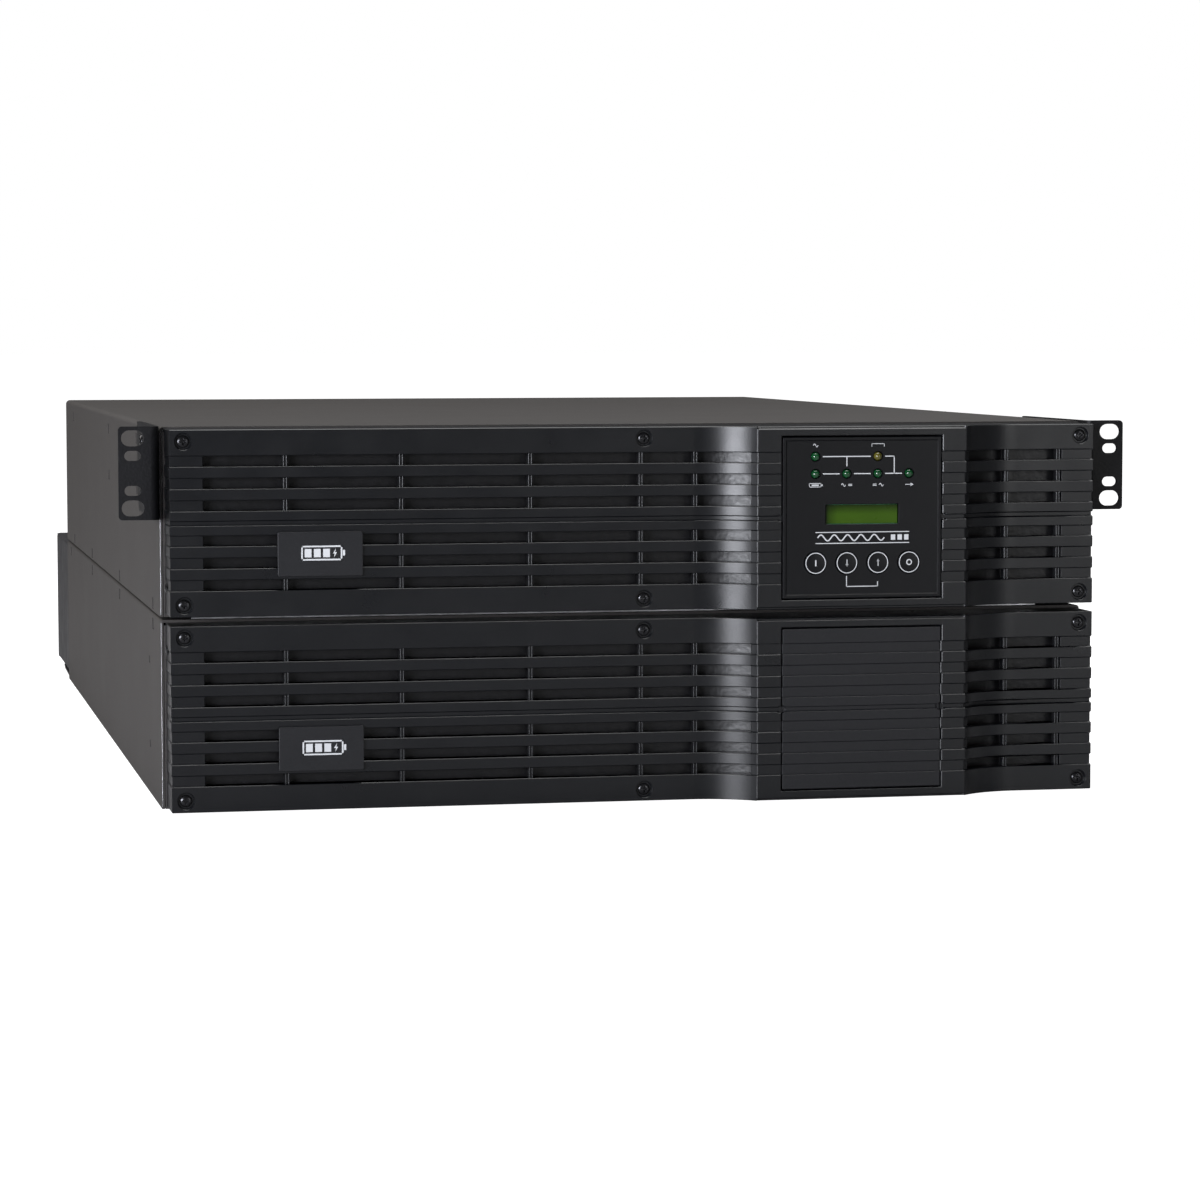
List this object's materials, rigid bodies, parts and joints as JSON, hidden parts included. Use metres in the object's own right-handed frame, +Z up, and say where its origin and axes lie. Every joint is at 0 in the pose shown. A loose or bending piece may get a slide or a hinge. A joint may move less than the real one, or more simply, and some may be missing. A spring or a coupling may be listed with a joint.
{
  "type": "rackmount ups",
  "caption": "Rack-mount uninterruptible power supply: power module on a battery module, slotted bezels, rack ears, control panel and rear power box.",
  "frame": {"origin": "middle of the bounding box, at the base the unit rests on", "axes": "+X to the right seen from the front, +Y towards the rear, +Z up; the control panel faces -Y"},
  "size_m": [0.478, 0.8228, 0.1755],
  "materials": {
    "coat_grey": "fine textured powder coat",
    "coat_black": "textured powder coat",
    "bezel_plastic": "lightly textured moulded plastic",
    "panel_plastic": "smooth satin overlay",
    "filter_foam": "satin sheet",
    "zinc_steel": "zinc plated",
    "screw_steel": "black oxide",
    "aluminium": "extruded",
    "circuit_board": "solder resist",
    "choke_winding": "enamelled copper",
    "battery_case": "moulded",
    "lamp_green": "clear tinted lens",
    "lamp_yellow": "clear tinted lens",
    "display_green": "dim backlit window"
  },
  "bodies": {
    "chassis": {"power_base_pan": "coat_grey", "power_top_cover": "coat_grey", "power_bezel": "bezel_plastic", "power_badge": "bezel_plastic", "power_intake_filter_left": "filter_foam", "power_intake_filter_right": "filter_foam", "power_bezel_screw_1": "screw_steel", "power_bezel_screw_2": "screw_steel", "power_bezel_screw_3": "screw_steel", "power_bezel_screw_4": "screw_steel", "power_bezel_screw_5": "screw_steel", "power_bezel_screw_6": "screw_steel", "battery_base_pan": "coat_grey", "battery_top_cover": "coat_grey", "battery_bezel": "bezel_plastic", "battery_badge": "bezel_plastic", "battery_intake_filter_left": "filter_foam", "battery_intake_filter_right": "filter_foam", "battery_bezel_screw_1": "screw_steel", "battery_bezel_screw_2": "screw_steel", "battery_bezel_screw_3": "screw_steel", "battery_bezel_screw_4": "screw_steel", "battery_bezel_screw_5": "screw_steel", "battery_bezel_screw_6": "screw_steel", "rack_ear_left": "coat_black", "fan_frame_left": "bezel_plastic", "battery_tray_left": "zinc_steel", "battery_pack_left": "battery_case", "outlet_left": "bezel_plastic", "rack_ear_right": "coat_black", "fan_frame_right": "bezel_plastic", "battery_tray_right": "zinc_steel", "battery_pack_right": "battery_case", "outlet_right": "bezel_plastic", "main_board": "circuit_board", "heatsink": "aluminium", "output_choke": "choke_winding", "capacitor_bank": "battery_case", "accessory_slot_cover": "coat_black", "rear_box_housing": "coat_black", "rear_box_panel": "coat_black", "terminal_cover": "coat_black"},
    "control_panel": {"control_panel_housing": "panel_plastic", "display_window": "display_green", "display_board": "circuit_board", "led_input": "lamp_green", "led_bypass": "lamp_yellow", "led_battery": "lamp_green", "led_ac_dc": "lamp_green", "led_dc_ac": "lamp_green", "led_output": "lamp_green"},
    "button_on": {"button_on": "panel_plastic"},
    "button_down": {"button_down": "panel_plastic"},
    "button_up": {"button_up": "panel_plastic"},
    "button_off": {"button_off": "panel_plastic"},
    "blank_panel": {"blank_panel": "bezel_plastic"},
    "fan_rotor_left": {"fan_rotor_left": "bezel_plastic"},
    "fan_rotor_right": {"fan_rotor_right": "bezel_plastic"},
    "bypass_switch": {"bypass_switch_knob": "bezel_plastic"},
    "input_breaker": {"input_breaker_lever": "bezel_plastic"}
  },
  "joints": [
    {"name": "control_panel_pull", "type": "slide", "parent": "chassis", "child": "control_panel", "axis": [0, -1, 0], "range_m": [0, 0.02]},
    {"name": "blank_panel_pull", "type": "slide", "parent": "chassis", "child": "blank_panel", "axis": [0, -1, 0], "range_m": [0, 0.0065]},
    {"name": "button_on_press", "type": "slide", "parent": "control_panel", "child": "button_on", "axis": [0, 1, 0], "range_m": [0, 0.0008], "stiffness_N_per_m": 1500, "springref_m": -0.0004},
    {"name": "button_down_press", "type": "slide", "parent": "control_panel", "child": "button_down", "axis": [0, 1, 0], "range_m": [0, 0.0008], "stiffness_N_per_m": 1500, "springref_m": -0.0004},
    {"name": "button_up_press", "type": "slide", "parent": "control_panel", "child": "button_up", "axis": [0, 1, 0], "range_m": [0, 0.0008], "stiffness_N_per_m": 1500, "springref_m": -0.0004},
    {"name": "button_off_press", "type": "slide", "parent": "control_panel", "child": "button_off", "axis": [0, 1, 0], "range_m": [0, 0.0008], "stiffness_N_per_m": 1500, "springref_m": -0.0004},
    {"name": "fan_left_spin", "type": "hinge", "parent": "chassis", "child": "fan_rotor_left", "pos_m": [-0.15, 0.27505, 0.13175], "axis": [0, 1, 0], "continuous": true},
    {"name": "fan_right_spin", "type": "hinge", "parent": "chassis", "child": "fan_rotor_right", "pos_m": [-0.062, 0.27505, 0.13175], "axis": [0, 1, 0], "continuous": true},
    {"name": "bypass_switch_turn", "type": "hinge", "parent": "chassis", "child": "bypass_switch", "pos_m": [-0.02, 0.39505, 0.0454], "axis": [0, 1, 0], "range_deg": [0, 90]},
    {"name": "input_breaker_flip", "type": "hinge", "parent": "chassis", "child": "input_breaker", "pos_m": [0.045, 0.38705, 0.0454], "axis": [1, 0, 0], "range_deg": [-36, 0]}
  ]
}
